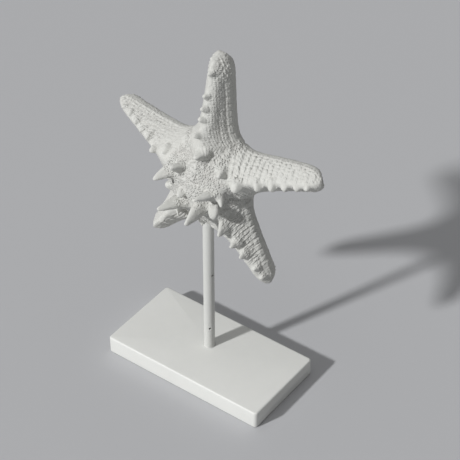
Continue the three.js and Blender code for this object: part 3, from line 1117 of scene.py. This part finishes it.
    def relief(self, places: Places, horn: Array) -> Relief:
        """Works out how far each point of the skin is raised.

        Args:
            places: The points, in arm coordinates.
            horn: From 0 on the skin to 1 on a horn.

        Returns:
            The relief, with heights that are about 0 on average.
        """
        whole = Relief.flat(len(horn))
        for k, arm in enumerate(self.form.arms):
            for side in (1, -1):
                here = (places.arm == k) & ((places.aside > 0) == (side > 0))
                part = self.flank(places.only(here), arm.flank(side), 10 * k + side + 3)
                for one in fields(Relief):
                    getattr(whole, one.name)[here] = getattr(part, one.name)
        level = np.abs(places.aside) / np.maximum(places.half, 0.1)
        at_seam = smooth_step(level, 0.75, 0.92) * smooth_step(places.in_web, 1.1, 1.02)
        in_disc = np.maximum(smooth_step(places.in_disc, 1.05, 0.8), at_seam)
        front = whole.height + (self.disc_skin(places) - whole.height) * in_disc - 0.2
        back = self.back(places) - 0.4
        facing = smooth_step(places.height, *self.facing)
        on_wall = smooth_step(level, 0.85, 0.95) * (1 - facing)
        bare = (1 - 0.95 * horn) * (1 - 0.75 * on_wall)
        grain = lumps(places.own, 1.4, 81) + 0.6 * lumps(places.own, 0.9, 91)
        broad = 0.25 * lumps(places.own, 3.5, 95) * (0.4 + 0.6 * horn)
        relief = (back + (front - back) * facing) * bare
        whole.height = relief + broad + self.grain * grain * (1 - 0.6 * horn)
        whole.loose = np.maximum(in_disc, 1 - facing)
        whole.bead = (whole.bead + (self.disc_bead - whole.bead) * whole.loose) * bare
        return whole


@dataclass
class Post:
    """The round rod, with softened ends, two pin holes and a thin fillet of paint at its foot."""

    pin_holes: tuple[Range, ...] = ((37.5, 45), (94, 78))
    pin_radius: float = 1.15
    pin_depth: float = 7
    end_rounding: float = 0.6
    sides: int = 72
    pin_sides: int = 24
    end_steps: int = 3
    fillet: float = 0.9
    fillet_steps: int = 6
    node: ClassVar[str] = "post"

    def model(self, base_top: float) -> Piece:
        """Turns the rod and drills it.

        Args:
            base_top: The height of the base's top, in metres, where the paint fillet is.

        Returns:
            The post.
        """
        low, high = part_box(self.node)
        radius = (high.x - low.x) / 2
        centre = (low + high) / 2
        ends = self.soft_end(low.z, radius, 1), self.soft_end(high.z, radius, -1)[::-1]
        rings = [*ends[0], *self.fillet_rings(base_top, radius), *ends[1]]
        post = draw_out(rings, self.sides, "stand_post", (centre.x, centre.y))
        for height, azimuth in self.pin_holes:
            turn = math.radians(azimuth)
            way = Vector((math.sin(turn), -math.cos(turn), 0))
            mouth = Vector((centre.x, centre.y, height * MM)) + way * radius
            depth = 2 * self.pin_depth * MM
            bore(post, self.pin_radius * MM, depth, mouth, (math.pi / 2, 0, turn), self.pin_sides)
        smooth_flats(post)
        return post

    def soft_end(self, end: float, radius: float, inwards: int) -> list[Range]:
        """Gives the rings that round over one end of the rod.

        Args:
            end: The height of the end, in metres.
            radius: The rod's radius.
            inwards: 1 if the rod goes up from this end, or -1.

        Returns:
            The rings, from the end inwards.
        """
        soft = self.end_rounding * MM
        turns = [math.pi / 2 * step / self.end_steps for step in range(self.end_steps + 1)]
        return [(end + inwards * soft * (1 - math.cos(t)), radius - soft * (1 - math.sin(t))) for t in turns]

    def fillet_rings(self, base_top: float, radius: float) -> list[Range]:
        """Gives the rings that spread the rod where it meets the base, as paint does in a corner."""
        size = self.fillet * MM
        levels = [step / self.fillet_steps for step in range(self.fillet_steps + 1)]
        spreads = [1 - math.sqrt(1 - (1 - level) ** 2) for level in levels]
        return [(base_top + size * level, radius + size * out) for level, out in zip(levels, spreads)]


@dataclass
class Base:
    """The flat block that the post stands in, with soft edges and corners."""

    corner: float = 3
    corner_steps: int = 8
    edge: float = 1.5
    edge_steps: int = 5
    sharp: float = 0.6
    socket_gap: float = 0.3
    socket_depth: float = 9.3
    node: ClassVar[str] = "base"

    def model(self) -> Piece:
        """Cuts the block, rounds its corners and edges, and sinks the post's socket.

        Returns:
            The base.
        """
        low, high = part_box(self.node)
        deselect()
        bpy.ops.mesh.primitive_cube_add(size=1, location=(low + high) / 2, scale=high - low)
        base = bpy.context.active_object
        base.name = base.data.name = "stand_base"
        settle(base)
        self.round_over(base, self.corner, self.corner_steps, upright=True)
        self.round_over(base, self.edge, self.edge_steps, upright=False)
        self.sink_socket(base, high.z)
        smooth_flats(base)
        return base

    def round_over(self, base: Piece, width: float, steps: int, upright: bool) -> None:
        """Bevels the block's upright edges or its level ones.

        Args:
            base: The block.
            width: The rounding in millimetres.
            steps: Its number of steps.
            upright: True for the upright edges.
        """
        mesh = bmesh.new()
        mesh.from_mesh(base.data)
        sharp = [edge for edge in mesh.edges if edge.calc_face_angle(0) > self.sharp]
        rises = [abs(edge.verts[1].co.z - edge.verts[0].co.z) > self.edge * MM for edge in sharp]
        chosen = [edge for edge, rise in zip(sharp, rises) if rise == upright]
        bmesh.ops.bevel(mesh, geom=chosen, offset=width * MM, segments=steps, affect="EDGES", profile=0.5)
        mesh.to_mesh(base.data)
        mesh.free()

    def sink_socket(self, base: Piece, top: float) -> None:
        """Cuts the blind hole that the post stands in."""
        low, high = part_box(Post.node)
        middle = Vector(((low.x + high.x) / 2, (low.y + high.y) / 2, top))
        radius = (high.x - low.x) / 2 + self.socket_gap * MM
        bore(base, radius, 2 * self.socket_depth * MM, middle, sides=72)


class Nodes:
    """Builds a node tree with short calls. A value is a number, or the output that gives it."""

    MIXES: ClassVar[dict[str, tuple[int, int, int]]] = {"FLOAT": (2, 3, 0), "RGBA": (6, 7, 2)}

    def __init__(self, tree: bpy.types.NodeTree) -> None:
        """Takes the tree to build in."""
        self.tree = tree

    def add(self, kind: str, **values: object) -> bpy.types.Node:
        """Adds a node.

        Args:
            kind: Its type, as ShaderNodeMath.
            values: Its own settings, and its inputs' values by their names, with _ for a space.

        Returns:
            The node.
        """
        node = self.tree.nodes.new(kind)
        for key, value in values.items():
            if hasattr(node, key):
                setattr(node, key, value)
            else:
                self.feed(value, node.inputs[key.replace("_", " ")])
        return node

    def feed(self, value: object, target: Socket) -> None:
        """Gives an input its value."""
        if isinstance(value, Socket):
            self.tree.links.new(value, target)
        else:
            target.default_value = value

    def place(self) -> Socket:
        """Gives the Object coordinates."""
        return self.add("ShaderNodeTexCoord").outputs["Object"]

    def attribute(self, name: str, output: str = "Fac") -> Socket:
        """Reads what the mesh keeps for each vertex under a name."""
        return self.add("ShaderNodeAttribute", attribute_name=name).outputs[output]

    def noise(self, scale: float, detail: float = 3) -> Socket:
        """Adds noise in Object coordinates."""
        node = self.add("ShaderNodeTexNoise", Vector=self.place(), Scale=scale, Detail=detail, Roughness=0.55)
        return node.outputs["Fac"]

    def spread(self, value: object, low: float, high: float, to: Range = (0.0, 1.0)) -> Socket:
        """Maps a value from one range to another."""
        return self.add(
            "ShaderNodeMapRange", Value=value, From_Min=low, From_Max=high, To_Min=to[0], To_Max=to[1]
        ).outputs["Result"]

    def math(self, how: str, first: object, second: object) -> Socket:
        """Gives the sum, product or the like of two values."""
        node = self.add("ShaderNodeMath", operation=how)
        self.feed(first, node.inputs[0])
        self.feed(second, node.inputs[1])
        return node.outputs[0]

    def mix(self, kind: str, share: object, first: object, second: object) -> Socket:
        """Blends two values, of the kind FLOAT or RGBA, by a share from 0 to 1."""
        node = self.add("ShaderNodeMix", data_type=kind, Factor=share)
        at_first, at_second, result = self.MIXES[kind]
        self.feed(first, node.inputs[at_first])
        self.feed(second, node.inputs[at_second])
        return node.outputs[result]


class Surface(Nodes):
    """Builds a material round its Principled shader."""

    def __init__(self, name: str) -> None:
        """Starts the material with a name."""
        self.material = bpy.data.materials.new(name)
        self.material.use_nodes = True
        super().__init__(self.material.node_tree)
        self.inputs = self.tree.nodes["Principled BSDF"].inputs

    def paint(self, uneven: bpy.types.NodeTree, colour: object, amount: float, roughness: float) -> None:
        """Paints it unevenly.

        Args:
            uneven: The shared effect.
            colour: The paint's colour.
            amount: How uneven it is.
            roughness: How rough it is.
        """
        group = self.add("ShaderNodeGroup", node_tree=uneven, Color=colour, Amount=amount)
        self.feed(roughness, group.inputs["Roughness"])
        self.feed(group.outputs["Color"], self.inputs["Base Color"])
        self.feed(group.outputs["Roughness"], self.inputs["Roughness"])

    def bump(self, height: Socket, strength: float, distance: float) -> None:
        """Gives it a fine relief, whose height is in units of a distance in metres."""
        node = self.add("ShaderNodeBump", Strength=strength, Distance=distance, Height=height)
        self.feed(node.outputs["Normal"], self.inputs["Normal"])


def mottle_group() -> bpy.types.NodeTree:
    """Makes the effect of uneven paint: two sizes of soft patches in the colour and the roughness.

    Returns:
        The node group, with Color, Amount and Roughness in, and Color and Roughness out.
    """
    group = bpy.data.node_groups.new("uneven_paint", "ShaderNodeTree")
    for name, way, kind in (
        ("Color", "INPUT", "Color"),
        ("Amount", "INPUT", "Float"),
        ("Roughness", "INPUT", "Float"),
        ("Color", "OUTPUT", "Color"),
        ("Roughness", "OUTPUT", "Float"),
    ):
        group.interface.new_socket(name, in_out=way, socket_type=f"NodeSocket{kind}")
    build = Nodes(group)
    given = build.add("NodeGroupInput").outputs
    result = build.add("NodeGroupOutput").inputs
    both = build.math("ADD", build.noise(28), build.math("MULTIPLY", build.noise(160), 0.5))
    patch = build.spread(both, 0.45, 1.05, (-1.0, 1.0))
    brightness = build.math("ADD", build.math("MULTIPLY", patch, given["Amount"]), 1.0)
    bright = build.add(
        "ShaderNodeHueSaturation", Hue=0.5, Saturation=1.0, Fac=1.0, Value=brightness, Color=given["Color"]
    )
    build.feed(bright.outputs["Color"], result["Color"])
    rough = build.math("ADD", given["Roughness"], build.math("MULTIPLY", patch, 0.06))
    build.feed(rough, result["Roughness"])
    return group


@dataclass(frozen=True)
class ChalkFinish:
    """The star's finish: chalky white, with painted shade that darkens the crevices, and small beads and
    granules.
    """

    name: str = "chalky_white_skin"
    slot: str = "star"
    colour: Triple = (0.67, 0.672, 0.64)
    # The colour of the painted shade in the crevices, and the span of relief over which it fades out.
    crevice_painted_shade: Triple = (0.61, 0.605, 0.575)
    painted_shade_range: Range = (0.1, 0.55)
    unevenness: float = 0.035
    roughness: float = 0.88
    shine: float = 0.3
    granule_size: float = 1.7
    grain: float = 0.12
    grain_scale: float = 1100

    @staticmethod
    def domes(build: Nodes, where: Socket, scale: float, disorder: float) -> Socket:
        """Adds a field of small domes.

        Args:
            build: The material's builder.
            where: The coordinates that they are laid out in.
            scale: How many there are to a unit.
            disorder: How far they are off a lattice, from 0 to 1.

        Returns:
            The domes' height, from 0 to 1.
        """
        cells = build.add(
            "ShaderNodeTexVoronoi", feature="F1", Vector=where, Scale=scale, Randomness=disorder
        )
        off = build.math("MULTIPLY", cells.outputs["Distance"], 1.75)
        return build.math("MAXIMUM", build.math("SUBTRACT", 1.0, build.math("POWER", off, 2.0)), 0.0)

    def make(self, uneven: bpy.types.NodeTree) -> bpy.types.Material:
        """Builds the material round the shared effect of uneven paint."""
        build = Surface(self.name)
        # Painted shade: the low places of the relief get a darker colour, as if they were shadowed.
        outside_painted_shade = build.spread(build.attribute("painted_shade_height"), *self.painted_shade_range)
        tone_with_painted_shade = build.mix("RGBA", outside_painted_shade, (*self.crevice_painted_shade, 1), (*self.colour, 1))
        build.paint(uneven, tone_with_painted_shade, self.unevenness, self.roughness)
        build.inputs["Specular IOR Level"].default_value = self.shine
        in_rows = self.domes(build, build.attribute("rows", "Vector"), 1.0, 0.4)
        scattered = self.domes(build, build.place(), 1 / (self.granule_size * MM), 1.0)
        beads = build.mix("FLOAT", build.attribute("loose"), in_rows, scattered)
        height = build.math("MULTIPLY", beads, build.attribute("bead"))
        fine = build.math("MULTIPLY", build.noise(self.grain_scale), self.grain)
        build.bump(build.math("ADD", height, fine), 1.0, MM)
        return build.material


@dataclass(frozen=True)
class PaintFinish:
    """The stand's finish: satin white paint with the fine texture of a roller or brush."""

    name: str
    slot: str
    colour: Triple
    roughness: float
    texture: float
    unevenness: float = 0.02
    stipple_scale: float = 900
    stipple_depth: float = 0.12

    def make(self, uneven: bpy.types.NodeTree) -> bpy.types.Material:
        """Builds the material round the shared effect of uneven paint."""
        build = Surface(self.name)
        build.paint(uneven, (*self.colour, 1), self.unevenness, self.roughness)
        build.bump(build.noise(self.stipple_scale, 4), self.texture, self.stipple_depth * MM)
        return build.material


SKIN_FINISH = ChalkFinish()
BLOCK_FINISH = PaintFinish("satin_white_block", "base", (0.8, 0.805, 0.775), 0.5, 0.2)
ROD_FINISH = PaintFinish("satin_white_rod", "post", (0.66, 0.665, 0.64), 0.42, 0.15)


@dataclass
class Studio:
    """The pale floor, the soft light and the camera at the photograph's angle."""

    azimuth: float = 36.38
    elevation: float = 39.87
    camera_place: Triple = (0.6109, -0.8010, 0.9829)
    lens: float = 133.15
    sun_way: Triple = (0.3102, 0.7924, -0.5252)
    sun_strength: float = 2.65
    sun_angle: float = 4
    top_strength: float = 0.75
    top_angle: float = 80
    sky: float = 0.08
    floor_colour: Triple = (0.52, 0.525, 0.54)
    floor_size: float = 8
    floor_roughness: float = 0.9

    def camera(self) -> None:
        """Sets up the camera, which looks down at the star from its right."""
        data = bpy.data.cameras.new("camera")
        data.lens = self.lens
        data.sensor_width = 36
        camera = bpy.data.objects.new("camera", data)
        camera.location = self.camera_place
        camera.rotation_euler = (math.radians(90 - self.elevation), 0, math.radians(self.azimuth))
        bpy.context.scene.collection.objects.link(camera)
        bpy.context.scene.camera = camera

    def lights(self) -> None:
        """Sets up a soft key light from the left front, a broad one overhead and an even faint fill."""
        self.lamp("key", self.sun_strength, self.sun_angle, self.sun_way)
        self.lamp("top", self.top_strength, self.top_angle, (0, 0, -1))
        world = bpy.data.worlds.new("studio")
        world.use_nodes = True
        fill = world.node_tree.nodes["Background"]
        fill.inputs["Color"].default_value = (0.98, 0.99, 1, 1)
        fill.inputs["Strength"].default_value = self.sky
        bpy.context.scene.world = world

    def lamp(self, name: str, strength: float, angle: float, way: Triple) -> None:
        """Hangs one distant lamp.

        Args:
            name: Its name.
            strength: Its strength.
            angle: How wide it looks, in degrees; wide is soft.
            way: The way that its light travels.
        """
        data = bpy.data.lights.new(name, "SUN")
        data.energy = strength
        data.angle = math.radians(angle)
        lamp = bpy.data.objects.new(name, data)
        lamp.rotation_euler = Vector(way).to_track_quat("-Z", "Y").to_euler()
        bpy.context.scene.collection.objects.link(lamp)

    def floor(self) -> None:
        """Lays the floor."""
        deselect()
        bpy.ops.mesh.primitive_plane_add(size=self.floor_size)
        floor = bpy.context.active_object
        floor.name = "floor"
        surface = Surface("pale_floor")
        surface.inputs["Base Color"].default_value = (*self.floor_colour, 1)
        surface.inputs["Roughness"].default_value = self.floor_roughness
        floor.data.materials.append(surface.material)

    def build(self) -> None:
        """Sets up the camera, the floor and the lights."""
        self.camera()
        self.floor()
        self.lights()
        bpy.context.scene.view_settings.view_transform = "Standard"


def dress(piece: Piece, finish: ChalkFinish | PaintFinish, uneven: bpy.types.NodeTree, node: str) -> None:
    """Gives a piece its finish and its place among the bodies.

    Args:
        piece: The piece.
        finish: Its finish.
        uneven: The shared effect of uneven paint.
        node: The CAD node that it stands for.
    """
    piece.data.materials.clear()
    piece.data.materials.append(finish.make(uneven))
    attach(piece, "root")
    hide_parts(node)
    LOG.info("%s: %d faces, %s", piece.name, len(piece.data.polygons), finish.name)


def main() -> None:
    """Builds the stand, the star and the studio."""
    logging.basicConfig(level=logging.INFO, format="%(message)s")
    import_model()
    Studio().build()
    uneven = mottle_group()
    dress(Base().model(), BLOCK_FINISH, uneven, Base.node)
    dress(Post().model(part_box(Base.node)[1].z), ROD_FINISH, uneven, Post.node)
    dress(SeaStar().model(), SKIN_FINISH, uneven, SeaStar.node)


if __name__ == "__main__":
    main()
